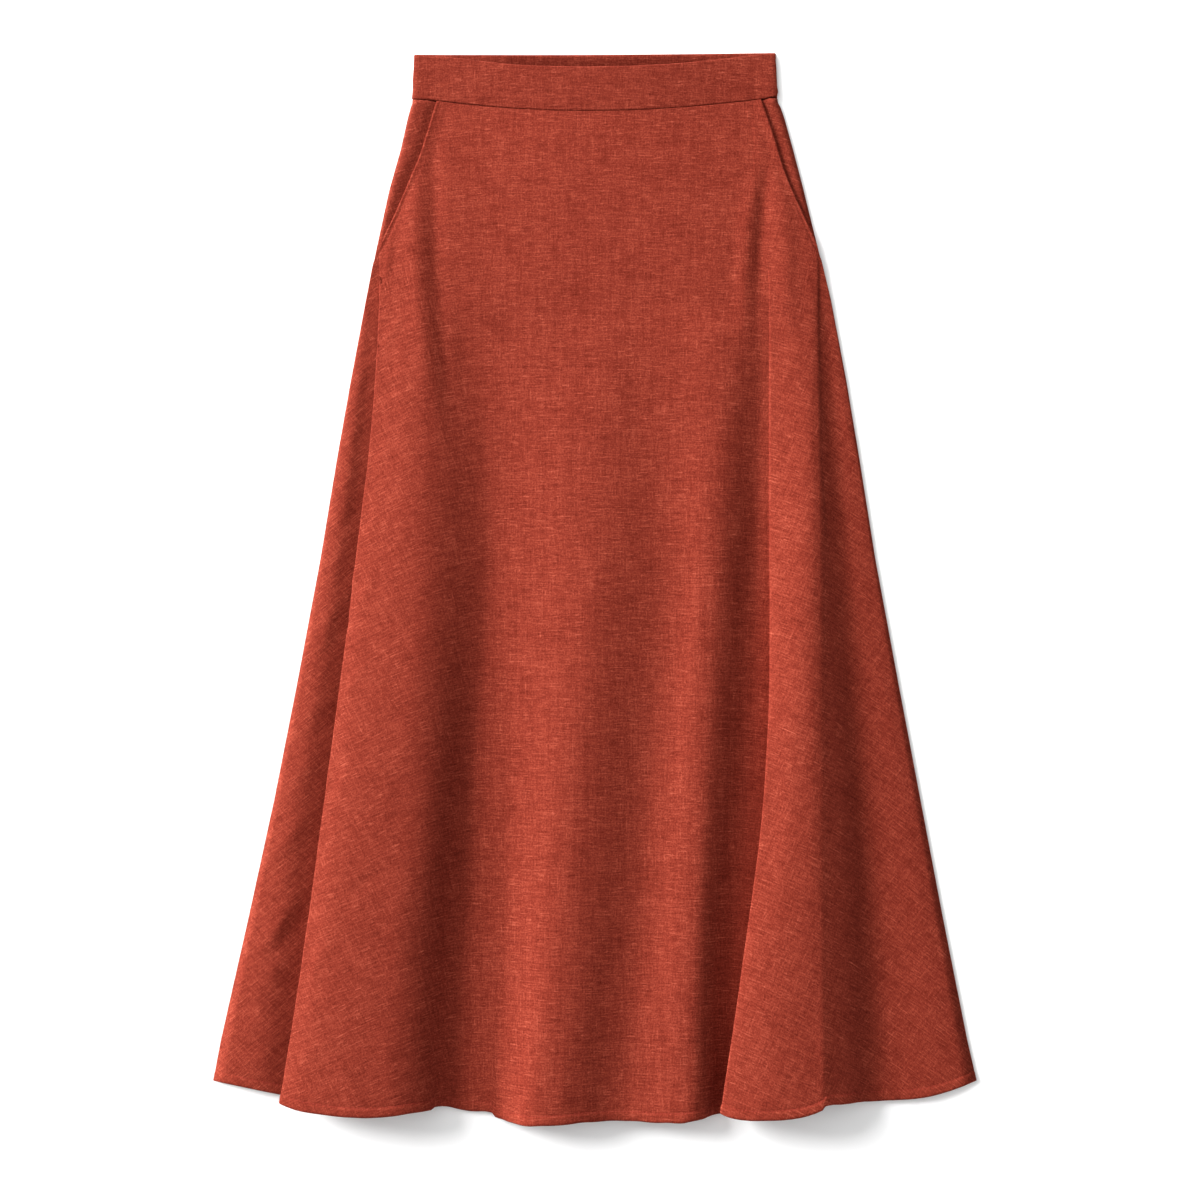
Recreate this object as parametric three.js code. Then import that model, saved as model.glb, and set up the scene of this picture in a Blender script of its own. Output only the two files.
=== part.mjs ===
// A-line maxi skirt in slubby linen, laid flat on its back with soft flutes at the hem.
// Millimetres. +Z up, +Y towards the waistband, origin at the middle of the footprint on the surface.
import * as THREE from 'three';

// ---- driving dimensions ----
const CLOTH = 1.0;            // wall of one layer of cloth
const BAND = 2.0;             // wall of the waistband, two layers turned in
const GAP = 0.3;              // air kept between sewn pieces
const BACK_TOP = 516.4;       // top edge of the back waistband
const BACK_SEAM = 472.6;      // back waist seam
const CORNER_SPACE = 1.0;     // least spacing of fold lines beside the pocket mouths
const BEND_FREE = 1000;       // a fold line with no limit on how softly it bends
const ROWS = [0, 0.04, 0.08, 0.11, 0.135, 0.152, 0.17, 0.2, 0.24, 0.29, 0.34, 0.4,
  0.46, 0.52, 0.58, 0.64, 0.7, 0.76, 0.82, 0.87, 0.92, 0.96, 1];   // share of the way from seam to hem

// Side silhouette: height y, left x, right x.
const SIDE = [
  // y,     left,   right
  [468.0, -176.6, 176.8],
  [463.9, -178.3, 179.5],
  [452.3, -181.5, 183.6],
  [423.2, -188.0, 191.8],
  [384.5, -199.0, 202.1],
  [345.7, -207.6, 211.7],
  [326.3, -211.8, 216.6],
  [277.9, -221.4, 228.4],
  [200.4, -235.9, 243.2],
  [122.9, -249.6, 256.2],
  [26.0, -265.6, 271.6],
  [-90.2, -287.4, 293.2],
  [-206.4, -310.3, 315.2],
  [-322.7, -335.7, 337.3],
  [-438.9, -362.0, 360.5],
  [-478.0, -369.5, 369.5],
];

// Slant pocket mouths, from the waist seam to the side seam: left x, y, right x, y.
const MOUTH = [
  // leftX, leftY, rightX, rightY
  [-153.0, 469.9, 160.8, 471.6],
  [-161.4, 442.2, 172.6, 437.5],
  [-167.8, 421.4, 182.9, 403.7],
  [-179.0, 394.2, 193.4, 378.2],
  [-191.9, 363.7, 204.6, 354.0],
  [-204.8, 336.4, 212.6, 336.4],
  [-208.8, 325.9, 215.9, 328.0],
];

// Front waistband: x along it, seam y, top y, mid-height of its lower and upper edge.
const FRONT_BAND = [
  // x,      seam,  top,   zSeam, zTop
  [-176.4, 471.9, 514.1, 4.4, 3.4],
  [-153.0, 469.9, 513.2, 4.5, 3.9],
  [-128.4, 467.1, 510.4, 4.7, 4.8],
  [-101.4, 464.1, 506.8, 5.2, 6.3],
  [-67.5, 461.3, 503.5, 6.7, 7.9],
  [-33.7, 459.6, 502.2, 8.2, 9.1],
  [-4.7, 459.2, 501.8, 8.7, 9.4],
  [24.3, 459.6, 502.2, 8.7, 9.3],
  [53.3, 460.9, 503.5, 8.1, 8.8],
  [82.3, 462.9, 505.5, 6.9, 7.8],
  [106.5, 465.3, 508.1, 5.8, 6.6],
  [140.4, 469.0, 512.2, 4.8, 4.9],
  [158.8, 471.1, 514.6, 4.4, 3.9],
  [176.4, 474.4, 516.2, 4.4, 3.4],
];

// Back hem, hidden under the flutes: x, y.
const BACK_HEM = [
  [-369.5, -478.0], [-322, -486], [-266, -494.5], [-160, -501], [-60, -506.5],
  [0, -508], [70, -506], [140, -502], [205, -497], [285, -491], [330, -487], [369.5, -478.0],
];

// Heights along the skirt at which the fold lines are measured; the last one is the hem.
const STATION_Y = [472, 394.5, 326.6, 278, 239.4, 142, 45.5, -70, -187.2, -361.7];

// Fold lines, left to right across the front. bend: how far from the line the cloth starts to turn.
const FOLD_X = [
  // name, bend, waist, y394,   y327,   y278,   y239,   y142,   y46,    y-70,   y-187,  y-362,  hem,    hemY
  ['stripCrestL', BEND_FREE, -150.7, -176.9, -209.7, -219.1, -224.5, -238.0, -251.5, -268.5, -288.0, -317.0, -333.0, -484.4],
  ['stripFootL', BEND_FREE, -148.8, -175.4, -209.3, -214.5, -217.0, -223.5, -231.5, -243.5, -258.5, -285.5, -298.0, -492.8],
  ['innerFoldL', 2, -146.8, -173.9, -208.9, -206.1, -204.1, -209.8, -219.6, -230.0, -241.9, -264.1, -271.6, -496.0],
  ['underL', BEND_FREE, -144.9, -172.5, -208.5, -207.5, -206.7, -213.4, -225.0, -236.6, -250.0, -276.9, -287.3, -495.0],
  ['edgeL', 3, -143.0, -170.6, -206.8, -207.4, -209.0, -216.2, -227.4, -241.4, -256.6, -280.0, -301.4, -495.2],
  ['shoulderL', BEND_FREE, -140.0, -166.6, -199.8, -198.6, -197.0, -201.0, -213.0, -225.5, -238.0, -261.0, -280.0, -500.6],
  ['crestL', BEND_FREE, -128.4, -153.0, -180.3, -179.1, -180.0, -178.0, -181.0, -186.5, -200.0, -216.0, -225.0, -506.9],
  ['fallL', BEND_FREE, -115.9, -134.8, -154.3, -152.6, -153.5, -152.5, -152.5, -152.0, -151.5, -164.5, -168.0, -501.5],
  ['valleyL', BEND_FREE, -101.4, -112.8, -122.5, -120.8, -119.0, -112.5, -107.5, -114.5, -128.0, -139.0, -147.0, -503.6],
  ['valleyEndL', BEND_FREE, -86.9, -91.6, -93.5, -92.4, -92.0, -90.8, -88.0, -93.5, -105.0, -114.0, -111.0, -508.0],
  ['riseC', 8, -67.5, -70.4, -72.3, -72.3, -72.3, -72.8, -74.1, -77.4, -81.8, -87.5, -92.1, -514.0],
  ['crestC', BEND_FREE, -33.7, -33.7, -28.9, -27.0, -24.0, -23.5, -22.0, -27.0, -34.0, -45.0, -63.0, -515.6],
  ['fallC', BEND_FREE, -4.7, -2.8, 4.9, 6.2, 6.5, 11.0, 10.5, 5.0, -4.0, -12.0, -24.0, -513.1],
  ['dipC', BEND_FREE, 24.3, 29.0, 51.2, 55.7, 57.1, 57.9, 58.1, 53.7, 45.4, 31.8, 18.5, -512.7],
  ['riseF', BEND_FREE, 53.3, 62.8, 80.3, 81.9, 82.3, 82.2, 82.2, 77.6, 69.5, 57.7, 48.2, -514.0],
  ['crestF', BEND_FREE, 82.3, 91.8, 105.4, 106.9, 107.8, 105.5, 105.0, 98.0, 92.0, 83.5, 78.5, -514.2],
  ['fallF', BEND_FREE, 106.5, 116.0, 130.5, 131.3, 134.0, 128.5, 128.0, 121.0, 113.5, 105.0, 101.5, -511.0],
  ['valleyR', BEND_FREE, 140.4, 149.5, 156.7, 161.5, 159.7, 156.2, 152.7, 148.6, 142.4, 124.2, 115.3, -509.8],
  ['innerFoldR', 2, 145.2, 152.8, 164.5, 165.2, 165.5, 165.9, 166.4, 169.1, 171.4, 154.0, 140.5, -509.0],
  ['underR', BEND_FREE, 148.1, 154.7, 166.9, 168.0, 168.3, 168.3, 168.3, 168.3, 168.2, 148.7, 131.5, -506.0],
  ['edgeR', 3, 150.0, 156.6, 169.1, 170.3, 171.1, 170.6, 170.1, 169.4, 163.9, 142.1, 121.0, -503.4],
  ['shoulderR', BEND_FREE, 152.5, 161.4, 176.9, 179.8, 180.7, 178.0, 176.5, 175.5, 174.5, 149.5, 134.5, -507.3],
  ['crestR', BEND_FREE, 154.4, 169.0, 191.3, 194.0, 194.0, 197.0, 197.0, 193.0, 188.0, 173.0, 162.0, -508.8],
  ['fallR', BEND_FREE, 156.3, 173.7, 205.8, 207.9, 209.0, 208.5, 208.5, 207.0, 205.5, 199.5, 194.0, -506.1],
  ['ridgeR', 4, 157.8, 177.7, 214.1, 215.3, 215.7, 216.6, 217.1, 216.7, 216.2, 216.0, 217.5, -498.5],
  ['ridgeFootR', BEND_FREE, 158.8, 180.0, 215.1, 218.1, 220.2, 224.5, 227.0, 233.0, 240.0, 246.0, 249.0, -493.8],
  ['stripFootR', BEND_FREE, 159.4, 182.0, 215.6, 221.3, 226.0, 233.0, 239.0, 247.0, 254.0, 264.5, 271.0, -497.5],
  ['stripRidgeR', BEND_FREE, 160.1, 183.8, 215.8, 223.9, 230.5, 243.0, 255.5, 270.0, 283.0, 300.0, 310.0, -495.2],
  ['stripEndR', BEND_FREE, 160.7, 185.4, 216.1, 226.0, 233.4, 247.6, 261.6, 279.0, 297.0, 325.5, 340.0, -489.6],
];

// Mid-height of the cloth over the surface at the same fold lines and heights.
const FOLD_Z = [
  // name, waist, y394, y327, y278, y239, y142, y46, y-70, y-187, y-362, hem
  ['sideL', 4.4, 4.4, 4.3, 2.4, 1.8, 1.8, 1.8, 1.8, 1.8, 1.8, 1.8],
  ['stripCrestL', 4.4, 4.4, 4.3, 2.8, 3.4, 6.2, 8.0, 8.8, 9.4, 10.4, 10.0],
  ['stripFootL', 4.4, 4.4, 4.3, 2.9, 2.6, 2.4, 2.4, 2.4, 2.4, 2.4, 2.8],
  ['innerFoldL', 4.4, 4.5, 4.4, 3.2, 2.6, 2.4, 2.4, 2.5, 2.6, 3.0, 4.0],
  ['underL', 4.5, 4.6, 4.5, 4.7, 5.0, 5.4, 6.2, 8.4, 10.6, 12.8, 13.2],
  ['edgeL', 4.6, 4.8, 4.8, 5.9, 6.6, 7.8, 9.6, 13.4, 17.0, 20.5, 21.5],
  ['shoulderL', 4.6, 5.0, 5.8, 7.1, 8.7, 11.8, 15.0, 20.2, 25.0, 28.8, 30.0],
  ['crestL', 4.7, 5.6, 7.9, 9.5, 11.8, 16.4, 20.6, 25.4, 29.4, 33.2, 35.0],
  ['fallL', 4.9, 5.7, 7.6, 8.5, 11.4, 15.6, 19.4, 23.8, 27.4, 30.6, 31.2],
  ['valleyL', 5.2, 5.9, 6.8, 6.9, 5.0, 4.4, 4.0, 3.8, 3.4, 3.2, 3.0],
  ['valleyEndL', 5.8, 6.4, 6.8, 6.9, 5.2, 5.0, 5.2, 5.0, 4.6, 3.8, 3.6],
  ['riseC', 6.7, 7.0, 7.1, 7.1, 6.0, 6.6, 7.4, 7.8, 7.6, 6.2, 5.2],
  ['crestC', 8.2, 7.9, 7.5, 7.5, 8.4, 12.2, 15.8, 19.6, 23.0, 26.2, 28.6],
  ['fallC', 8.7, 8.1, 7.5, 7.4, 9.6, 13.4, 17.0, 20.4, 23.2, 25.6, 27.4],
  ['dipC', 8.7, 7.8, 7.0, 6.7, 8.0, 10.0, 11.0, 11.2, 11.6, 12.6, 13.2],
  ['riseF', 8.1, 7.5, 7.0, 6.7, 8.6, 11.0, 12.2, 12.6, 13.6, 15.0, 16.0],
  ['crestF', 6.9, 7.0, 7.0, 7.0, 10.2, 13.8, 17.0, 18.8, 20.4, 22.2, 22.8],
  ['fallF', 5.8, 6.1, 6.5, 6.5, 9.8, 13.4, 16.2, 18.0, 20.4, 22.2, 22.2],
  ['valleyR', 4.8, 5.2, 5.3, 5.1, 5.0, 4.0, 2.9, 2.4, 2.3, 2.3, 2.3],
  ['innerFoldR', 4.7, 5.1, 5.3, 5.2, 5.0, 4.6, 3.8, 3.0, 2.6, 2.5, 2.6],
  ['underR', 4.6, 5.1, 5.4, 5.4, 5.2, 5.5, 6.6, 10.2, 14.0, 15.8, 16.8],
  ['edgeR', 4.6, 5.2, 5.5, 5.9, 5.8, 7.0, 9.8, 16.6, 22.6, 25.4, 27.0],
  ['shoulderR', 4.6, 5.4, 6.0, 6.8, 7.2, 9.2, 12.8, 20.0, 26.0, 28.8, 30.8],
  ['crestR', 4.6, 5.5, 6.4, 7.5, 8.6, 12.8, 18.4, 25.2, 29.6, 33.2, 35.0],
  ['fallR', 4.5, 5.4, 6.2, 7.2, 8.6, 13.2, 19.0, 25.6, 30.2, 33.8, 35.0],
  ['ridgeR', 4.5, 5.2, 5.5, 6.0, 7.2, 11.8, 17.2, 23.4, 28.2, 32.0, 33.2],
  ['ridgeFootR', 4.4, 5.0, 4.9, 3.8, 3.8, 5.2, 8.6, 13.0, 17.0, 20.0, 19.6],
  ['stripFootR', 4.4, 4.8, 4.6, 3.2, 2.6, 2.4, 2.4, 2.4, 2.5, 2.6, 3.0],
  ['stripRidgeR', 4.4, 4.6, 4.4, 2.9, 2.5, 2.7, 3.0, 3.6, 4.3, 5.0, 5.4],
  ['stripEndR', 4.4, 4.5, 4.3, 2.6, 2.3, 2.6, 3.0, 3.6, 4.4, 5.2, 5.6],
  ['sideR', 4.4, 4.4, 4.3, 2.4, 1.8, 1.8, 1.8, 1.8, 1.8, 1.8, 1.8],
];

// ---- small helpers ----
// Straight interpolation in a table whose first column falls or rises steadily.
function along(table, v, key, value) {
  const up = table[table.length - 1][key] > table[0][key] ? 1 : -1;
  if (up * (v - table[0][key]) <= 0) return table[0][value];
  for (let i = 1; i < table.length; i++) {
    const a = table[i - 1], b = table[i];
    if (up * (v - b[key]) <= 0) return a[value] + (b[value] - a[value]) * (v - a[key]) / (b[key] - a[key]);
  }
  return table[table.length - 1][value];
}

// Smooth interpolation that never overshoots its values.
function smooth(xs, ys, x) {
  const n = xs.length, up = xs[n - 1] > xs[0] ? 1 : -1;
  if (up * (x - xs[0]) <= 0) return ys[0];
  if (up * (x - xs[n - 1]) >= 0) return ys[n - 1];
  const h = [], d = [], m = [];
  for (let i = 0; i < n - 1; i++) { h.push(xs[i + 1] - xs[i]); d.push((ys[i + 1] - ys[i]) / h[i]); }
  for (let i = 0; i < n; i++) {
    if (i === 0) m.push(d[0]);
    else if (i === n - 1) m.push(d[n - 2]);
    else if (d[i - 1] * d[i] <= 0) m.push(0);
    else {
      const w1 = 2 * h[i] + h[i - 1], w2 = h[i] + 2 * h[i - 1];
      m.push((w1 + w2) / (w1 / d[i - 1] + w2 / d[i]));
    }
  }
  let i = 0;
  while (up * (x - xs[i + 1]) > 0) i++;
  const t = (x - xs[i]) / h[i], t2 = t * t, t3 = t2 * t;
  return ys[i] * (2 * t3 - 3 * t2 + 1) + h[i] * m[i] * (t3 - 2 * t2 + t)
    + ys[i + 1] * (-2 * t3 + 3 * t2) + h[i] * m[i + 1] * (t3 - t2);
}

// Triangles of a closed body from a top and a bottom grid with the same rows and columns.
function closedGrid(top, bottom) {
  const rows = top.length, cols = top[0].length, pos = [], idx = [];
  for (const grid of [top, bottom]) for (const row of grid) for (const p of row) pos.push(p.x, p.y, p.z);
  const at = (s, i, j) => s * rows * cols + i * cols + j;
  const quad = (a, b, c, d) => idx.push(a, b, c, a, c, d);
  for (let i = 0; i < rows - 1; i++) {
    for (let j = 0; j < cols - 1; j++) {
      quad(at(0, i, j), at(0, i + 1, j), at(0, i + 1, j + 1), at(0, i, j + 1));
      quad(at(1, i, j), at(1, i, j + 1), at(1, i + 1, j + 1), at(1, i + 1, j));
    }
  }
  for (let i = 0; i < rows - 1; i++) {
    quad(at(0, i, 0), at(1, i, 0), at(1, i + 1, 0), at(0, i + 1, 0));
    quad(at(0, i, cols - 1), at(0, i + 1, cols - 1), at(1, i + 1, cols - 1), at(1, i, cols - 1));
  }
  for (let j = 0; j < cols - 1; j++) {
    quad(at(0, 0, j), at(0, 0, j + 1), at(1, 0, j + 1), at(1, 0, j));
    quad(at(0, rows - 1, j), at(1, rows - 1, j), at(1, rows - 1, j + 1), at(0, rows - 1, j + 1));
  }
  const g = new THREE.BufferGeometry();
  g.setAttribute('position', new THREE.Float32BufferAttribute(pos, 3));
  g.setIndex(idx);
  g.computeVertexNormals();
  return g;
}

// A wall of cloth of the given thickness about a grid of mid-surface points.
function wall(grid, thickness) {
  const rows = grid.length, cols = grid[0].length, top = [], bottom = [];
  for (let i = 0; i < rows; i++) {
    const a = [], b = [];
    for (let j = 0; j < cols; j++) {
      const du = new THREE.Vector3().subVectors(grid[i][Math.min(j + 1, cols - 1)], grid[i][Math.max(j - 1, 0)]);
      const dv = new THREE.Vector3().subVectors(grid[Math.max(i - 1, 0)][j], grid[Math.min(i + 1, rows - 1)][j]);
      const n = du.cross(dv).normalize().multiplyScalar(thickness / 2);
      a.push(grid[i][j].clone().add(n));
      b.push(grid[i][j].clone().sub(n));
    }
    top.push(a); bottom.push(b);
  }
  return closedGrid(top, bottom);
}

// A flat layer of cloth: an outline of [x, y] points between two heights.
function layer(outline, z, thickness) {
  const shape = new THREE.Shape(outline.map(([x, y]) => new THREE.Vector2(x, y)));
  const g = new THREE.ExtrudeGeometry(shape, { depth: thickness, bevelEnabled: false });
  g.translate(0, 0, z);
  return g;
}

// ---- front panel: one sheet through every fold line ----
const sideX = (y, side) => along(SIDE, y, 0, side === 'L' ? 1 : 2);

// Side edge of the front panel: down the pocket mouth, then down the side seam.
function frontEdge(y, side) {
  const end = MOUTH[MOUTH.length - 1], k = side === 'L' ? 0 : 2;
  if (y >= end[k + 1]) return along(MOUTH, y, k + 1, k);
  const ease = Math.min(1, (end[k + 1] - y) / 12);
  return end[k] + (sideX(y, side) - end[k]) * ease;
}

function frontRow(t) {
  const pts = [];
  const put = (name, x, y, z, bend) => pts.push({ name, bend, p: new THREE.Vector3(x, y, z) });
  const zAt = (k, y, hemY) => smooth([...STATION_Y, hemY], FOLD_Z[k].slice(1), y);
  const edgeTop = { L: MOUTH[0][1], R: MOUTH[0][3] }, hemSide = SIDE[SIDE.length - 1][0];
  const edge = (side, k) => {
    const y = edgeTop[side] - GAP / 2 + (hemSide + GAP / 2 - edgeTop[side]) * t;
    put('side' + side, frontEdge(y, side), y, zAt(k, y, hemSide), 0);
  };
  edge('L', 0);
  FOLD_X.forEach((row, k) => {
    const hemY = row[row.length - 1], xs = row.slice(2, row.length - 1);
    const topY = along(FRONT_BAND, xs[0], 0, 1) - GAP / 2;
    const y = topY + (hemY - topY) * t;
    put(row[0], smooth([...STATION_Y, hemY], xs, y), y, zAt(k + 1, y, hemY), row[1]);
  });
  edge('R', FOLD_Z.length - 1);
  // beside the mouths the fold lines run together: keep them a little apart
  if (pts[1].p.y > 322) {
    for (let i = 1; i < 8; i++) pts[i].p.x = Math.max(pts[i].p.x, pts[i - 1].p.x + CORNER_SPACE);
    for (let i = pts.length - 2; i > pts.length - 9; i--) pts[i].p.x = Math.min(pts[i].p.x, pts[i + 1].p.x - CORNER_SPACE);
  }
  return pts;
}

// Rounds every corner of the section: soft ones over half of each side, folded ones only near the line.
function roundSection(pts) {
  const out = [pts[0].p.clone()];
  for (let i = 1; i < pts.length - 1; i++) {
    const a = pts[i - 1].p, b = pts[i].p, c = pts[i + 1].p;
    const reach = (q) => { const l = q.distanceTo(b); return b.clone().lerp(q, Math.min(0.5, pts[i].bend / l)); };
    const p0 = reach(a), p2 = reach(c);
    const steps = pts[i].bend < BEND_FREE ? [0, 0.5, 1] : [0.2, 0.8];
    for (const s of steps) {
      out.push(new THREE.Vector3().addScaledVector(p0, (1 - s) * (1 - s)).addScaledVector(b, 2 * s * (1 - s)).addScaledVector(p2, s * s));
    }
  }
  out.push(pts[pts.length - 1].p.clone());
  return out;
}

const frontPanel = () => wall(ROWS.map((t) => roundSection(frontRow(t))), CLOTH);

// ---- back panel: flat on the surface ----
function backPanel() {
  const left = SIDE.map((r) => [r[1], r[0]]), right = SIDE.map((r) => [r[2], r[0]]).reverse();
  const top = BACK_SEAM - GAP;
  return layer([[-176.4, top], ...left.slice(0, -1), ...BACK_HEM, ...right.slice(1), [176.4, top]], 0, CLOTH);
}

// ---- waistband ----
function frontBand() {
  const rows = [1, 0.5, 0].map((s) => FRONT_BAND.map(([x, seam, top, zSeam, zTop], i) => {
    const low = seam + GAP / 2, end = i === 0 ? 1.6 * s : i === FRONT_BAND.length - 1 ? -1.6 * s : 0;
    return new THREE.Vector3(x + end, low + (top - low) * s, zSeam + (zTop - zSeam) * s);
  }));
  return wall(rows, BAND);
}

const backBand = () => layer([
  [-176.4, BACK_SEAM], [176.4, BACK_SEAM], [174.8, 517.2], [158, BACK_TOP + 0.5], [60, BACK_TOP - 1.6],
  [-60, BACK_TOP - 2.2], [-130, BACK_TOP - 1.4], [-174.8, 515.6],
], 0, BAND);

// ---- pockets: the side piece seen in the mouth, and the bag front behind the front panel ----
// Bag outline from below the mouth round to the waist seam, for the left pocket: x, y.
const BAG = [
  [-204, 312], [-200.5, 296], [-194, 268], [-182, 246], [-160, 232],
  [-132, 227], [-106, 235], [-90, 258], [-84, 300], [-82, 400], [-81, 461.6],
];
const BAG_TOP = [[-99.6, 463.3], [-126.2, 466.2]];

function pocket(side, kind) {
  const flip = side === 'L' ? 1 : -1, k = side === 'L' ? 0 : 2;
  const bag = [...BAG, ...BAG_TOP].map(([x, y]) => [flip * x, y]);
  const seam = (x) => Math.min(along(FRONT_BAND, x, 0, 1) - 0.5, BACK_SEAM - GAP);
  let edge;
  if (kind === 'facing') {
    edge = SIDE.filter((r) => r[0] > 327).map((r) => [r[side === 'L' ? 1 : 2], r[0]]);
    edge = [[flip * -153, seam(flip * -153)], [flip * -176.2, seam(flip * -176.2)], ...edge,
      [side === 'L' ? -211.0 : 215.6, 328]];
  } else {
    edge = MOUTH.map((r) => [r[k] + flip * 0.8, Math.min(r[k + 1], 470) - 0.6]);
  }
  const outline = [...edge, ...bag];
  return side === 'L' ? outline : outline.reverse();
}

// ---- the skirt ----
const LINEN = { roughness: 0.9, metalness: 0 };
const skirt = new THREE.Group();
function add(name, geometry, color) {
  const mesh = new THREE.Mesh(geometry, new THREE.MeshStandardMaterial({ color, ...LINEN }));
  mesh.name = name;
  skirt.add(mesh);
}

const FACING_Z = CLOTH + GAP, BAG_Z = FACING_Z + CLOTH + GAP;
add('back_panel', backPanel(), 0x9a3e2f);
add('front_panel', frontPanel(), 0xa14030);
add('waistband_back', backBand(), 0x903a2d);
add('waistband_front', frontBand(), 0x9c3d2f);
add('pocket_facing_left', layer(pocket('L', 'facing'), FACING_Z, CLOTH), 0x993c2e);
add('pocket_facing_right', layer(pocket('R', 'facing'), FACING_Z, CLOTH), 0x993c2e);
add('pocket_bag_left', layer(pocket('L', 'bag'), BAG_Z, CLOTH), 0x9a4436);
add('pocket_bag_right', layer(pocket('R', 'bag'), BAG_Z, CLOTH), 0x9a4436);

export default skirt;
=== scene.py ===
import math

import bpy
import numpy as np
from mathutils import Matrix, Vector


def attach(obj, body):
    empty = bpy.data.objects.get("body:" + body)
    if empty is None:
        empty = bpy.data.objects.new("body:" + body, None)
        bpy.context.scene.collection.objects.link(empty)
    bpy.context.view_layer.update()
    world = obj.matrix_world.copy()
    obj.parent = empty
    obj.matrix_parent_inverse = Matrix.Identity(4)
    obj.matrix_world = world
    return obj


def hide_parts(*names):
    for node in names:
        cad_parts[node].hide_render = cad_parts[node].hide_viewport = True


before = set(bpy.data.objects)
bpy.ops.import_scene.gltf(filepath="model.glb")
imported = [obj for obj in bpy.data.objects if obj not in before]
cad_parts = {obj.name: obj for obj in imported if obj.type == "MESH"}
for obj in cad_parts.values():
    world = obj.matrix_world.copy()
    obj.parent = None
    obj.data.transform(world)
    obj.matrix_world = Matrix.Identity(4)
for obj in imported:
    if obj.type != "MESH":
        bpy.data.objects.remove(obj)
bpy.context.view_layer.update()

# A-line maxi skirt laid flat. Millimetres here, turned to metres as each mesh is made.
MM = 0.001
CLOTH = 0.9          # visible thickness of one layer
BAND = 1.7           # visible thickness of the waistband
GAP = 0.3
BACK_SEAM = 472.6
HEM_DEPTH = 9.4      # turned hem, down to its stitch line

# ------------------------------------------------------------------ tables, as in the solid model
SIDE = np.array([
    # y, left, right
    (468.0, -176.6, 176.8), (463.9, -178.3, 179.5), (452.3, -181.5, 183.6), (423.2, -188.0, 191.8),
    (384.5, -199.0, 202.1), (345.7, -207.6, 211.7), (326.3, -211.8, 216.6), (277.9, -221.4, 228.4),
    (200.4, -235.9, 243.2), (122.9, -249.6, 256.2), (26.0, -265.6, 271.6), (-90.2, -287.4, 293.2),
    (-206.4, -310.3, 315.2), (-322.7, -335.7, 337.3), (-438.9, -362.0, 360.5), (-478.0, -369.5, 369.5),
])
MOUTH = np.array([
    # left x, left y, right x, right y
    (-153.0, 469.9, 160.8, 471.6), (-161.4, 442.2, 172.6, 437.5), (-167.8, 421.4, 182.9, 403.7),
    (-179.0, 394.2, 193.4, 378.2), (-191.9, 363.7, 204.6, 354.0), (-204.8, 336.4, 212.6, 336.4),
    (-208.8, 325.9, 215.9, 328.0),
])
FRONT_BAND = np.array([
    # x, seam, top, zSeam, zTop
    (-176.4, 471.9, 514.1, 4.4, 3.4), (-153.0, 469.9, 513.2, 4.5, 3.9), (-128.4, 467.1, 510.4, 4.7, 4.8),
    (-101.4, 464.1, 506.8, 5.2, 6.3), (-67.5, 461.3, 503.5, 6.7, 7.9), (-33.7, 459.6, 502.2, 8.2, 9.1),
    (-4.7, 459.2, 501.8, 8.7, 9.4), (24.3, 459.6, 502.2, 8.7, 9.3), (53.3, 460.9, 503.5, 8.1, 8.8),
    (82.3, 462.9, 505.5, 6.9, 7.8), (106.5, 465.3, 508.1, 5.8, 6.6), (140.4, 469.0, 512.2, 4.8, 4.9),
    (158.8, 471.1, 514.6, 4.4, 3.9), (176.4, 474.4, 516.2, 4.4, 3.4),
])
BACK_TOP = np.array([(-174.8, 515.6), (-130.0, 515.0), (-60.0, 514.2), (60.0, 514.8), (158.0, 516.9), (174.8, 517.2)])
BACK_HEM = np.array([
    (-369.5, -478.0), (-322, -486), (-266, -494.5), (-160, -501), (-60, -506.5), (0, -508), (70, -506),
    (140, -502), (205, -497), (285, -491), (330, -487), (369.5, -478.0),
])
STATION_Y = [472, 394.5, 326.6, 278, 239.4, 142, 45.5, -70, -187.2, -361.7]
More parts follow.
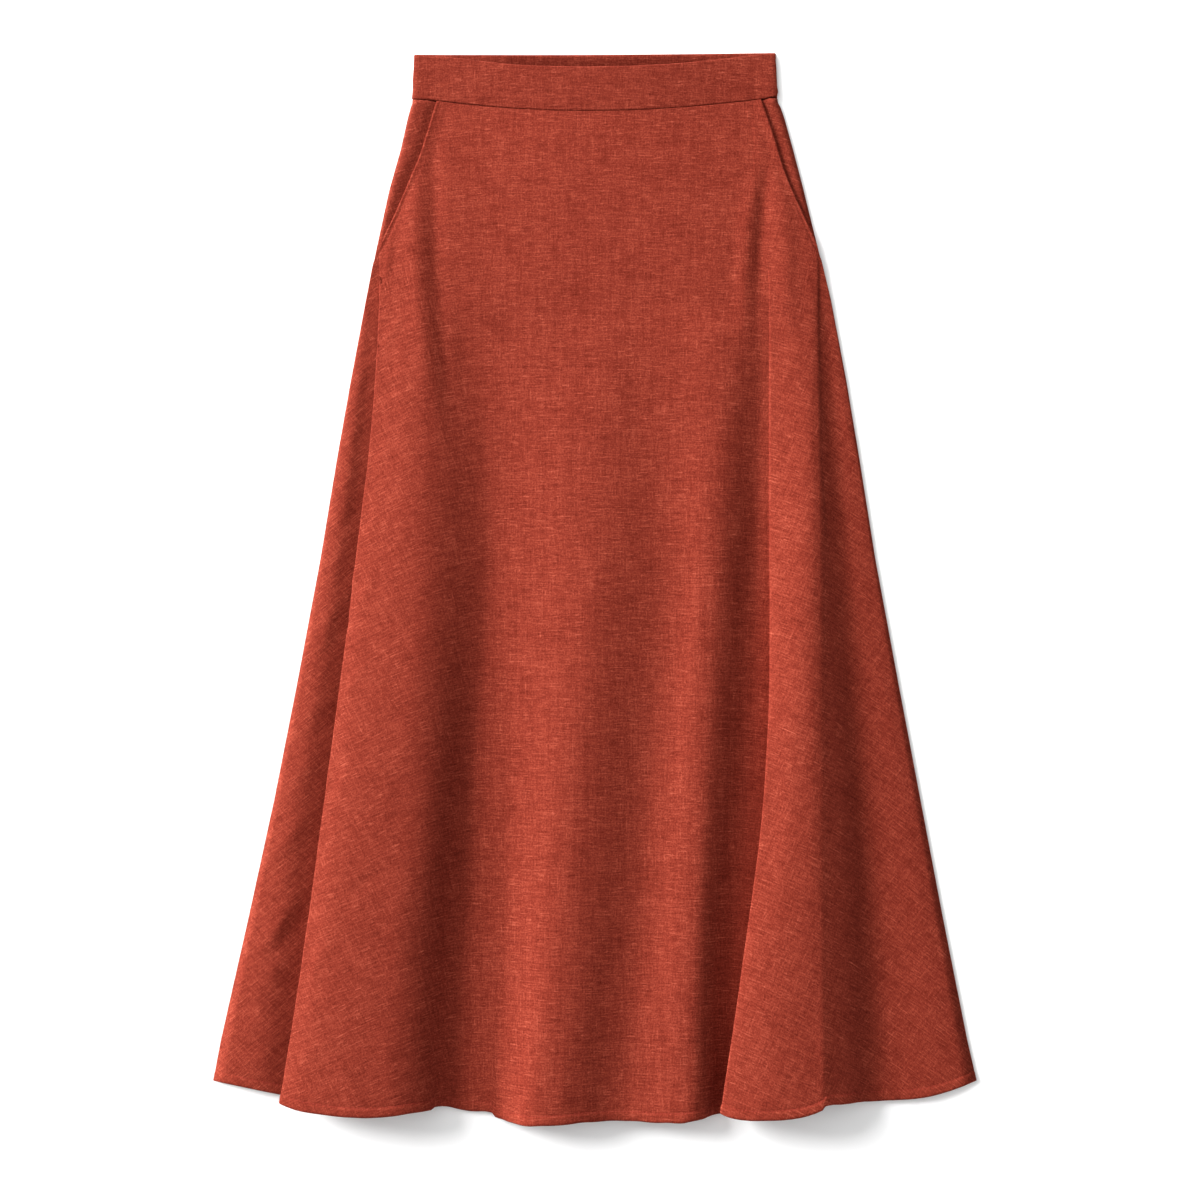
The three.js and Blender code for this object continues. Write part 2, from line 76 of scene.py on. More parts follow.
FOLD_X = [
    # name, bend, weave turn in degrees, waist, y394, y327, y278, y239, y142, y46, y-70, y-187, y-362, hem, hemY
    ("stripCrestL", 0, 40, -150.7, -176.9, -209.7, -219.1, -224.5, -238.0, -251.5, -268.5, -288.0, -317.0, -333.0, -484.4),
    ("stripFootL", 0, 40, -148.8, -175.4, -209.3, -214.5, -217.0, -223.5, -231.5, -243.5, -258.5, -285.5, -298.0, -492.8),
    ("innerFoldL", 2, 34, -146.8, -173.9, -208.9, -206.1, -204.1, -209.8, -219.6, -230.0, -241.9, -264.1, -271.6, -496.0),
    ("underL", 0, 30, -144.9, -172.5, -208.5, -207.5, -206.7, -213.4, -225.0, -236.6, -250.0, -276.9, -287.3, -495.0),
    ("edgeL", 1.6, 27, -143.0, -170.6, -206.8, -207.4, -209.0, -216.2, -227.4, -241.4, -256.6, -280.0, -301.4, -495.2),
    ("shoulderL", 0, 26, -140.0, -166.6, -199.8, -198.6, -197.0, -201.0, -213.0, -225.5, -238.0, -261.0, -280.0, -500.6),
    ("crestL", 0, 24, -128.4, -153.0, -180.3, -179.1, -180.0, -178.0, -181.0, -186.5, -200.0, -216.0, -225.0, -506.9),
    ("fallL", 0, 18, -115.9, -134.8, -154.3, -152.6, -153.5, -152.5, -152.5, -152.0, -151.5, -164.5, -168.0, -501.5),
    ("valleyL", 0, 8, -101.4, -112.8, -122.5, -120.8, -119.0, -112.5, -107.5, -114.5, -128.0, -139.0, -147.0, -503.6),
    ("valleyEndL", 0, 2, -86.9, -91.6, -93.5, -92.4, -92.0, -90.8, -88.0, -93.5, -105.0, -114.0, -111.0, -508.0),
    ("riseC", 8, 0, -67.5, -70.4, -72.3, -72.3, -72.3, -72.8, -74.1, -77.4, -81.8, -87.5, -92.1, -514.0),
    ("crestC", 0, 0, -33.7, -33.7, -28.9, -27.0, -24.0, -23.5, -22.0, -27.0, -34.0, -45.0, -63.0, -515.6),
    ("fallC", 0, 0, -4.7, -2.8, 4.9, 6.2, 6.5, 11.0, 10.5, 5.0, -4.0, -12.0, -24.0, -513.1),
    ("dipC", 0, 0, 24.3, 29.0, 51.2, 55.7, 57.1, 57.9, 58.1, 53.7, 45.4, 31.8, 18.5, -512.7),
    ("riseF", 0, 0, 53.3, 62.8, 80.3, 81.9, 82.3, 82.2, 82.2, 77.6, 69.5, 57.7, 48.2, -514.0),
    ("crestF", 0, 0, 82.3, 91.8, 105.4, 106.9, 107.8, 105.5, 105.0, 98.0, 92.0, 83.5, 78.5, -514.2),
    ("fallF", 0, 0, 106.5, 116.0, 130.5, 131.3, 134.0, 128.5, 128.0, 121.0, 113.5, 105.0, 101.5, -511.0),
    ("valleyR", 0, -4, 140.4, 149.5, 156.7, 161.5, 159.7, 156.2, 152.7, 148.6, 142.4, 124.2, 115.3, -509.8),
    ("innerFoldR", 2, -10, 145.2, 152.8, 164.5, 165.2, 165.5, 165.9, 166.4, 169.1, 171.4, 154.0, 140.5, -509.0),
    ("underR", 0, -14, 148.1, 154.7, 166.9, 168.0, 168.3, 168.3, 168.3, 168.3, 168.2, 148.7, 131.5, -506.0),
    ("edgeR", 1.6, -18, 150.0, 156.6, 169.1, 170.3, 171.1, 170.6, 170.1, 169.4, 163.9, 142.1, 121.0, -503.4),
    ("shoulderR", 0, -20, 152.5, 161.4, 176.9, 179.8, 180.7, 178.0, 176.5, 175.5, 174.5, 149.5, 134.5, -507.3),
    ("crestR", 0, -22, 154.4, 169.0, 191.3, 194.0, 194.0, 197.0, 197.0, 193.0, 188.0, 173.0, 162.0, -508.8),
    ("fallR", 0, -23, 156.3, 173.7, 205.8, 207.9, 209.0, 208.5, 208.5, 207.0, 205.5, 199.5, 194.0, -506.1),
    ("ridgeR", 2.5, -26, 157.8, 177.7, 214.1, 215.3, 215.7, 216.6, 217.1, 216.7, 216.2, 216.0, 217.5, -498.5),
    ("ridgeFootR", 0, -30, 158.8, 180.0, 215.1, 218.1, 220.2, 224.5, 227.0, 233.0, 240.0, 246.0, 249.0, -493.8),
    ("stripFootR", 0, -32, 159.4, 182.0, 215.6, 221.3, 226.0, 233.0, 239.0, 247.0, 254.0, 264.5, 271.0, -497.5),
    ("stripRidgeR", 0, -34, 160.1, 183.8, 215.8, 223.9, 230.5, 243.0, 255.5, 270.0, 283.0, 300.0, 310.0, -495.2),
    ("stripEndR", 0, -36, 160.7, 185.4, 216.1, 226.0, 233.4, 247.6, 261.6, 279.0, 297.0, 325.5, 340.0, -489.6),
]
FOLD_Z = [
    # name, waist, y394, y327, y278, y239, y142, y46, y-70, y-187, y-362, hem
    ("sideL", 4.4, 4.4, 4.3, 2.4, 1.8, 1.8, 1.8, 1.8, 1.8, 1.8, 1.8),
    ("stripCrestL", 4.4, 4.4, 4.3, 2.8, 3.4, 6.2, 8.0, 8.8, 9.4, 10.4, 10.0),
    ("stripFootL", 4.4, 4.4, 4.3, 2.9, 2.6, 2.4, 2.4, 2.4, 2.4, 2.4, 2.8),
    ("innerFoldL", 4.4, 4.5, 4.4, 3.2, 2.6, 2.4, 2.4, 2.5, 2.6, 3.0, 4.0),
    ("underL", 4.5, 4.6, 4.5, 4.7, 5.0, 5.4, 6.2, 8.4, 10.6, 12.8, 13.2),
    ("edgeL", 4.6, 4.8, 4.8, 5.9, 6.6, 7.8, 9.6, 13.4, 17.0, 20.5, 21.5),
    ("shoulderL", 4.6, 5.0, 5.8, 7.1, 8.7, 11.8, 15.0, 20.2, 25.0, 28.8, 30.0),
    ("crestL", 4.7, 5.6, 7.9, 9.5, 11.8, 16.4, 20.6, 25.4, 29.4, 33.2, 35.0),
    ("fallL", 4.9, 5.7, 7.6, 8.5, 11.4, 15.6, 19.4, 23.8, 27.4, 30.6, 31.2),
    ("valleyL", 5.2, 5.9, 6.8, 6.9, 5.0, 4.4, 4.0, 3.8, 3.4, 3.2, 3.0),
    ("valleyEndL", 5.8, 6.4, 6.8, 6.9, 5.2, 5.0, 5.2, 5.0, 4.6, 3.8, 3.6),
    ("riseC", 6.7, 7.0, 7.1, 7.1, 6.0, 6.6, 7.4, 7.8, 7.6, 6.2, 5.2),
    ("crestC", 8.2, 7.9, 7.5, 7.5, 8.4, 12.2, 15.8, 19.6, 23.0, 26.2, 28.6),
    ("fallC", 8.7, 8.1, 7.5, 7.4, 9.6, 13.4, 17.0, 20.4, 23.2, 25.6, 27.4),
    ("dipC", 8.7, 7.8, 7.0, 6.7, 8.0, 10.0, 11.0, 11.2, 11.6, 12.6, 13.2),
    ("riseF", 8.1, 7.5, 7.0, 6.7, 8.6, 11.0, 12.2, 12.6, 13.6, 15.0, 16.0),
    ("crestF", 6.9, 7.0, 7.0, 7.0, 10.2, 13.8, 17.0, 18.8, 20.4, 22.2, 22.8),
    ("fallF", 5.8, 6.1, 6.5, 6.5, 9.8, 13.4, 16.2, 18.0, 20.4, 22.2, 22.2),
    ("valleyR", 4.8, 5.2, 5.3, 5.1, 5.0, 4.0, 2.9, 2.4, 2.3, 2.3, 2.3),
    ("innerFoldR", 4.7, 5.1, 5.3, 5.2, 5.0, 4.6, 3.8, 3.0, 2.6, 2.5, 2.6),
    ("underR", 4.6, 5.1, 5.4, 5.4, 5.2, 5.5, 6.6, 10.2, 14.0, 15.8, 16.8),
    ("edgeR", 4.6, 5.2, 5.5, 5.9, 5.8, 7.0, 9.8, 16.6, 22.6, 25.4, 27.0),
    ("shoulderR", 4.6, 5.4, 6.0, 6.8, 7.2, 9.2, 12.8, 20.0, 26.0, 28.8, 30.8),
    ("crestR", 4.6, 5.5, 6.4, 7.5, 8.6, 12.8, 18.4, 25.2, 29.6, 33.2, 35.0),
    ("fallR", 4.5, 5.4, 6.2, 7.2, 8.6, 13.2, 19.0, 25.6, 30.2, 33.8, 35.0),
    ("ridgeR", 4.5, 5.2, 5.5, 6.0, 7.2, 11.8, 17.2, 23.4, 28.2, 32.0, 33.2),
    ("ridgeFootR", 4.4, 5.0, 4.9, 3.8, 3.8, 5.2, 8.6, 13.0, 17.0, 20.0, 19.6),
    ("stripFootR", 4.4, 4.8, 4.6, 3.2, 2.6, 2.4, 2.4, 2.4, 2.5, 2.6, 3.0),
    ("stripRidgeR", 4.4, 4.6, 4.4, 2.9, 2.5, 2.7, 3.0, 3.6, 4.3, 5.0, 5.4),
    ("stripEndR", 4.4, 4.5, 4.3, 2.6, 2.3, 2.6, 3.0, 3.6, 4.4, 5.2, 5.6),
    ("sideR", 4.4, 4.4, 4.3, 2.4, 1.8, 1.8, 1.8, 1.8, 1.8, 1.8, 1.8),
]


# ------------------------------------------------------------------ helpers
def table(xs, ys, v):
    """Straight interpolation, whichever way xs runs."""
    xs, ys = np.asarray(xs, float), np.asarray(ys, float)
    if xs[-1] < xs[0]:
        xs, ys = xs[::-1], ys[::-1]
    return np.interp(v, xs, ys)


def smooth(xs, ys, v):
    """Smooth interpolation that never overshoots, whichever way xs runs."""
    xs, ys, v = np.asarray(xs, float), np.asarray(ys, float), np.asarray(v, float)
    if xs[-1] < xs[0]:
        xs, ys = xs[::-1], ys[::-1]
    h, d = np.diff(xs), np.diff(ys) / np.diff(xs)
    m = np.zeros(len(xs))
    m[0], m[-1] = d[0], d[-1]
    for i in range(1, len(xs) - 1):
        if d[i - 1] * d[i] > 0:
            w1, w2 = 2 * h[i] + h[i - 1], h[i] + 2 * h[i - 1]
            m[i] = (w1 + w2) / (w1 / d[i - 1] + w2 / d[i])
    v = np.clip(v, xs[0], xs[-1])
    i = np.clip(np.searchsorted(xs, v) - 1, 0, len(xs) - 2)
    t = (v - xs[i]) / h[i]
    return (ys[i] * (2 * t**3 - 3 * t**2 + 1) + h[i] * m[i] * (t**3 - 2 * t**2 + t)
            + ys[i + 1] * (-2 * t**3 + 3 * t**2) + h[i] * m[i + 1] * (t**3 - t**2))


def normals(g):
    """Unit normals of a grid of points, rows running down the skirt and columns to the right."""
    du = np.empty_like(g)
    dv = np.empty_like(g)
    du[:, 1:-1] = g[:, 2:] - g[:, :-2]
    du[:, 0], du[:, -1] = g[:, 1] - g[:, 0], g[:, -1] - g[:, -2]
    dv[1:-1] = g[:-2] - g[2:]
    dv[0], dv[-1] = g[0] - g[1], g[-2] - g[-1]
    n = np.cross(du, dv)
    return n / np.maximum(np.linalg.norm(n, axis=2, keepdims=True), 1e-9)


def lattice(shape, cells_y, cells_x, seed):
    """Smooth value noise on a grid, from -1 to 1."""
    rng = np.random.default_rng(seed)
    g = rng.uniform(-1, 1, (cells_y + 3, cells_x + 3))
    yy = np.linspace(0, cells_y, shape[0])
    xx = np.linspace(0, cells_x, shape[1])
    iy, ix = yy.astype(int), xx.astype(int)
    fy, fx = yy - iy, xx - ix
    fy, fx = fy * fy * (3 - 2 * fy), fx * fx * (3 - 2 * fx)
    a = g[np.ix_(iy, ix)] * (1 - fx) + g[np.ix_(iy, ix + 1)] * fx
    b = g[np.ix_(iy + 1, ix)] * (1 - fx) + g[np.ix_(iy + 1, ix + 1)] * fx
    return a * (1 - fy)[:, None] + b * fy[:, None]


def step(a, b, v):
    """Smooth step from 0 at a to 1 at b, also with a above b."""
    t = np.clip((np.asarray(v, float) - a) / (b - a), 0, 1)
    return t * t * (3 - 2 * t)


def creases(x, y, rows):
    """Soft creases, listed one by one: x, y, length, width, direction in degrees, height."""
    d = np.zeros_like(x)
    for cx, cy, length, width, angle, height in rows:
        c, s = math.cos(math.radians(angle)), math.sin(math.radians(angle))
        u, v = (x - cx) * c + (y - cy) * s, -(x - cx) * s + (y - cy) * c
        v = v + 0.06 * u * u / length            # no crease is quite straight
        d += height * np.exp(-(v / (width / 2)) ** 2) * np.exp(-(2 * u / length) ** 4)
    return d


def make(name, verts, faces, layers=None, smooth_faces=True):
    me = bpy.data.meshes.new(name)
    me.from_pydata((np.asarray(verts) * MM).tolist(), [], faces)
    idx = np.empty(len(me.loops), int)
    me.loops.foreach_get("vertex_index", idx)
    for key, uvs in (layers or {}).items():
        layer = me.uv_layers.new(name=key)
        layer.data.foreach_set("uv", (np.asarray(uvs)[idx] * (1 if key == "share" else MM)).ravel())
    me.polygons.foreach_set("use_smooth", [smooth_faces] * len(me.polygons))
    me.validate()
    ob = bpy.data.objects.new(name, me)
    bpy.context.scene.collection.objects.link(ob)
    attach(ob, "root")
    return ob


def shell(name, mid, thickness, layers):
    """A closed wall of cloth round a grid of mid-surface points. thickness may vary over the grid."""
    rows, cols = mid.shape[:2]
    n = normals(mid)
    t = np.broadcast_to(np.asarray(thickness, float), (rows, cols))[..., None] / 2
    top, bottom = mid + n * t, mid - n * t
    verts = np.concatenate([top.reshape(-1, 3), bottom.reshape(-1, 3)])
    apart = {"share": 0.0}
    doubled = {key: np.concatenate([uv.reshape(-1, 2), uv.reshape(-1, 2) + apart.get(key, 313.0)]) for key, uv in layers.items()}
    i, j = np.meshgrid(np.arange(rows - 1), np.arange(cols - 1), indexing="ij")
    a = (i * cols + j).ravel()
    b, c, d = a + cols, a + cols + 1, a + 1
    k = rows * cols
    faces = [*zip(a.tolist(), b.tolist(), c.tolist(), d.tolist()),
             *zip((a + k).tolist(), (d + k).tolist(), (c + k).tolist(), (b + k).tolist())]
    left = [r * cols for r in range(rows)]
    right = [r * cols + cols - 1 for r in range(rows)]
    first, last = list(range(cols)), list(range((rows - 1) * cols, rows * cols))
    for p, q in zip(left, left[1:]):
        faces.append((p, p + k, q + k, q))
    for p, q in zip(right, right[1:]):
        faces.append((p, q, q + k, p + k))
    for p, q in zip(first, first[1:]):
        faces.append((p, q, q + k, p + k))
    for p, q in zip(last, last[1:]):
        faces.append((p, p + k, q + k, q))
    return make(name, verts, faces, doubled), top, n


def side_x(y, side):
    return table(SIDE[:, 0], SIDE[:, 1 if side == "L" else 2], y)


def front_edge(y, side):
    k = 0 if side == "L" else 2
    end_x, end_y = MOUTH[-1, k], MOUTH[-1, k + 1]
    mouth = smooth(MOUTH[:, k + 1], MOUTH[:, k], y)
    ease = np.clip((end_y - y) / 12, 0, 1)
    return np.where(y >= end_y, mouth, end_x + (side_x(y, side) - end_x) * ease)


def seam_y(x):
    return smooth(FRONT_BAND[:, 0], FRONT_BAND[:, 1], x)


# ------------------------------------------------------------------ front panel
def row_shares():
    """Share of the way from the waist seam to the hem for each row: even, with a few close rows at both ends."""
    length = 982.0
    top = [0, 0.5, 1.3, 2.6, 4.6, 7.4]
    low = [22, 18, 15, 12.8, 11.2, 10.2, 9.4, 8.6, 7.6, 6.2, 4.4, 2.6, 1.2, 0.4, 0]
    body = np.linspace(11, length - 26, 190)
    return np.concatenate([np.array(top), body, length - np.array(low)]) / length


def front_grid():
    t = row_shares()
    ctrl, bend, turn = [], [], []
    hem_side = SIDE[-1, 0]

    def edge(side, k):
        top = MOUTH[0, 1 if side == "L" else 3] - GAP / 2
        y = top + (hem_side + GAP / 2 - top) * t
        z = smooth([*STATION_Y, hem_side], FOLD_Z[k][1:], y)
        ctrl.append(np.stack([front_edge(y, side), y, z], 1))
        bend.append(0)
        turn.append(40 if side == "L" else -37)

    edge("L", 0)
    for k, row in enumerate(FOLD_X):
        hem_y, xs = row[-1], row[3:-1]
        top = float(seam_y(xs[0])) - GAP / 2
        y = top + (hem_y - top) * t
        st = [*STATION_Y, hem_y]
        ctrl.append(np.stack([smooth(st, xs, y), y, smooth(st, FOLD_Z[k + 1][1:], y)], 1))
        bend.append(row[1])
        turn.append(row[2])
    edge("R", len(FOLD_Z) - 1)
    # the two folded edges hang over a little more than the solid's do
    for i, dx in ((3, 2.4), (4, 1.0), (5, -1.2), (19, 2.6), (20, 1.0), (21, -1.4)):
        ctrl[i][:, 0] += dx * step(322, 302, ctrl[i][:, 1])
    # beside the mouths the fold lines run together: keep them a little apart
    apart = 0.8 * step(322, 330, ctrl[1][:, 1])
    for i in range(1, 8):
        need = ctrl[i - 1][:, 0] + apart
        ctrl[i][:, 0] = np.where(apart > 0, np.maximum(ctrl[i][:, 0], need), ctrl[i][:, 0])
    for i in range(len(ctrl) - 2, len(ctrl) - 9, -1):
        need = ctrl[i + 1][:, 0] - apart
        ctrl[i][:, 0] = np.where(apart > 0, np.minimum(ctrl[i][:, 0], need), ctrl[i][:, 0])
    # folded lines get close helpers on both sides, so the cloth turns only near them
    pts, turns, tight = [ctrl[0]], [turn[0]], [False]
    for i in range(1, len(ctrl) - 1):
        if bend[i]:
            for q, w in ((ctrl[i - 1], turn[i - 1]), (None, None), (ctrl[i + 1], turn[i + 1])):
                if q is None:
                    pts.append(ctrl[i]); turns.append(turn[i]); tight.append(True)
                    continue
                l = np.linalg.norm(q - ctrl[i], axis=1)
                f = np.minimum(0.45, 2 * bend[i] / np.maximum(l, 1e-6))[:, None]
                pts.append(ctrl[i] + (q - ctrl[i]) * f); turns.append(turn[i]); tight.append(True)
        else:
            pts.append(ctrl[i]); turns.append(turn[i]); tight.append(False)
    pts.append(ctrl[-1]); turns.append(turn[-1]); tight.append(False)
    P = np.stack(pts, 1)                      # rows, controls, xyz
    turns = np.array(turns, float)
    # quadratic B-spline across each row
    n = P.shape[1]
    cols, ang = [], []
    for i in range(1, n - 1):
        a = P[:, 0] if i == 1 else (P[:, i - 1] + P[:, i]) / 2
        c = P[:, -1] if i == n - 2 else (P[:, i] + P[:, i + 1]) / 2
        ta = turns[0] if i == 1 else (turns[i - 1] + turns[i]) / 2
        tc = turns[-1] if i == n - 2 else (turns[i] + turns[i + 1]) / 2
        length = float(np.mean(np.linalg.norm(a - P[:, i], axis=1) + np.linalg.norm(c - P[:, i], axis=1)))
        steps = max(3 if tight[i] else 2, int(round(length / 4.3)))
        for s in np.arange(steps) / steps:
            cols.append((1 - s) ** 2 * a + 2 * s * (1 - s) * P[:, i] + s * s * c)
            ang.append((1 - s) ** 2 * ta + 2 * s * (1 - s) * turns[i] + s * s * tc)
    cols.append(P[:, -1]); ang.append(turns[-1])
    return t, np.stack(cols, 1), np.array(ang)


CREASES_FRONT = [
    # x, y, length, width, direction, height
    # left strip, down from the pocket
    (-211, 293, 14, 3.4, 36, -0.45), (-211, 282, 12, 3.4, 60, 0.45), (-214, 270, 14, 3.4, 63, -0.4), (-219, 224, 34, 3.4, 35, -0.65),
    (-220, 217, 28, 3.9, 38, 0.4), (-224, 206, 41, 4.3, 46, 0.4), (-233, 150, 39, 5.5, 52, 0.4), (-241, 100, 34, 4.3, 55, 0.5),
    (-247, 52, 46, 6.2, 56, -0.4), (-246, -13, 67, 6.2, 58, 0.65), (-258, -62, 71, 6.2, 55, -0.75), (-275, -82, 41, 5.5, 42, 0.55),
    (-272, -119, 44, 5.5, 33, 0.5), (-281, -150, 46, 5.5, 40, -0.45), (-288, -183, 54, 6.2, 33, 0.55), (-290, -236, 62, 7.0, 52, 0.6),
    (-301, -268, 46, 6.2, 48, -0.5), (-301, -320, 83, 8.6, 60, 0.95), (-299, -337, 62, 6.2, 47, -0.85), (-329, -396, 74, 6.2, 59, -0.8),
    (-319, -382, 64, 7.0, 50, 0.85), (-340, -430, 34, 7, 52, 0.5), (-352, -437, 16, 5, 45, 0.4), (-312, -440, 46, 7.0, 62, 0.55),
    # left flute, beside its folded edge
    (-200, 316, 27, 5.5, 81, 0.42), (-194, 316, 42, 6.5, 82, -0.45), (-206, 298, 10, 3.4, 53, -0.35), (-200, 264, 12, 3.4, 56, 0.4),
    (-195, 248, 30, 6.5, 56, 0.45), (-196, 191, 21, 4.5, 25, -0.45), (-195, 200, 29, 5.5, 29, 0.42), (-204, 128, 26, 5, 58, 0.35),
    (-214, 61, 16, 4, 68, 0.38), (-222, -6, 39, 5.5, 60, 0.35), (-232, -92, 46, 5.5, 54, 0.4), (-246, -176, 51, 6.2, 62, -0.35),
    (-225, -288, 23, 3.9, 48, -0.5), (-214, -279, 25, 5.5, 31, -0.38), (-262, -352, 53, 7.0, 64, 0.4), (-258, -436, 46, 6.2, 30, 0.45),
    (-236, -468, 51, 6.2, 118, 0.5), (-196, -452, 60, 12, 100, 0.4), (-176, -120, 120, 20, 84, 0.35), (-188, -330, 110, 18, 88, 0.4),
    # right flute
    (189, 320, 48, 6.5, 84, 0.38), (212, 293, 15, 3.4, 124, -0.4), (206, 177, 34, 4.5, 79, 0.42), (207, 136, 17, 4, 75, 0.38),
    (202, 44, 46, 5.5, 152, -0.55), (202, 51, 42, 5.5, 152, 0.38), (196, -96, 34, 6, 150, 0.4), (190, -186, 40, 6, 146, -0.35),
    (189, -280, 15, 4.5, 56, -0.45), (211, -283, 31, 4.5, 115, 0.45), (184, -372, 44, 8, 128, 0.4), (204, -430, 46, 8, 112, -0.4),
    (176, -462, 40, 7, 70, 0.42),
    # right strip
    (222, 290, 17, 3.6, 132, 0.45), (227, 226, 35, 4.5, 141, 0.38), (227, 211, 22, 4.5, 135, 0.45), (238, 193, 22, 4.5, 132, 0.5),
    (231, 192, 25, 6, 131, -0.42), (222, 168, 58, 4.5, 102, -0.75), (249, 143, 39, 4.5, 112, 0.55), (246, 84, 30, 6, 128, 0.4),
    (254, 21, 26, 4.5, 115, 0.45), (262, -8, 36, 6, 136, -0.4), (281, -42, 55, 5, 105, 0.6), (276, -96, 40, 6, 132, 0.45),
    (296, -142, 44, 6, 129, 0.6), (288, -196, 44, 7, 140, -0.5), (306, -222, 50, 7, 122, 0.55), (296, -286, 46, 8, 136, 0.5),
    (322, -318, 54, 8, 118, 0.6), (310, -366, 48, 8, 138, -0.5), (336, -404, 46, 7, 120, 0.55), (359, -455, 44, 5.5, 113, 0.6),
    (300, -430, 50, 9, 130, 0.6), (268, -452, 40, 8, 108, 0.5),
    # the narrow tops of the two valleys, and the crisp line down the right ridge
    (-151, 290, 250, 17, 94, -2.0), (-172, 300, 230, 22, 94, 2.0),
    (-133, 262, 190, 24, 95, -0.5), (-114, 262, 190, 46, 95, -0.4), (160, 332, 150, 12, 86, -1.35), (146, 322, 140, 16, 86, 1.8),
    (183, 322, 140, 20, 92, 1.6), (217.4, 262, 150, 3.2, 90, -0.9), (220, 120, 170, 4, 92, -0.5),
    # the steep edge that runs into the hem left of the middle
    (-92, -490, 66, 3.4, 97, -0.9), (-86, -488, 70, 6, 97, 1.1),
    # middle: a few very soft folds
    (-58, 250, 150, 26, 92, 0.3), (40, 180, 150, 24, 96, -0.3), (-8, -60, 170, 28, 88, 0.35), (64, -200, 150, 24, 94, 0.35),
    (-60, -300, 130, 22, 98, 0.4), (4, -410, 120, 20, 86, -0.4), (110, 60, 130, 20, 95, 0.3), (-104, 330, 90, 22, 84, -0.3),
    (58, -440, 90, 16, 96, 0.4), (-30, -468, 60, 12, 84, 0.4), (92, -462, 56, 11, 100, -0.35),
]


def hem_profile(dist):
    """How far a turned hem stands out over its panel, by distance from the edge."""
    body = 0.6 * step(0, 1.2, dist) * (1 - step(9.4, 10.8, dist)) + 0.05
    groove = -0.75 * np.exp(-((dist - HEM_DEPTH) / 1.05) ** 2)
    return body * (dist < 12) + groove


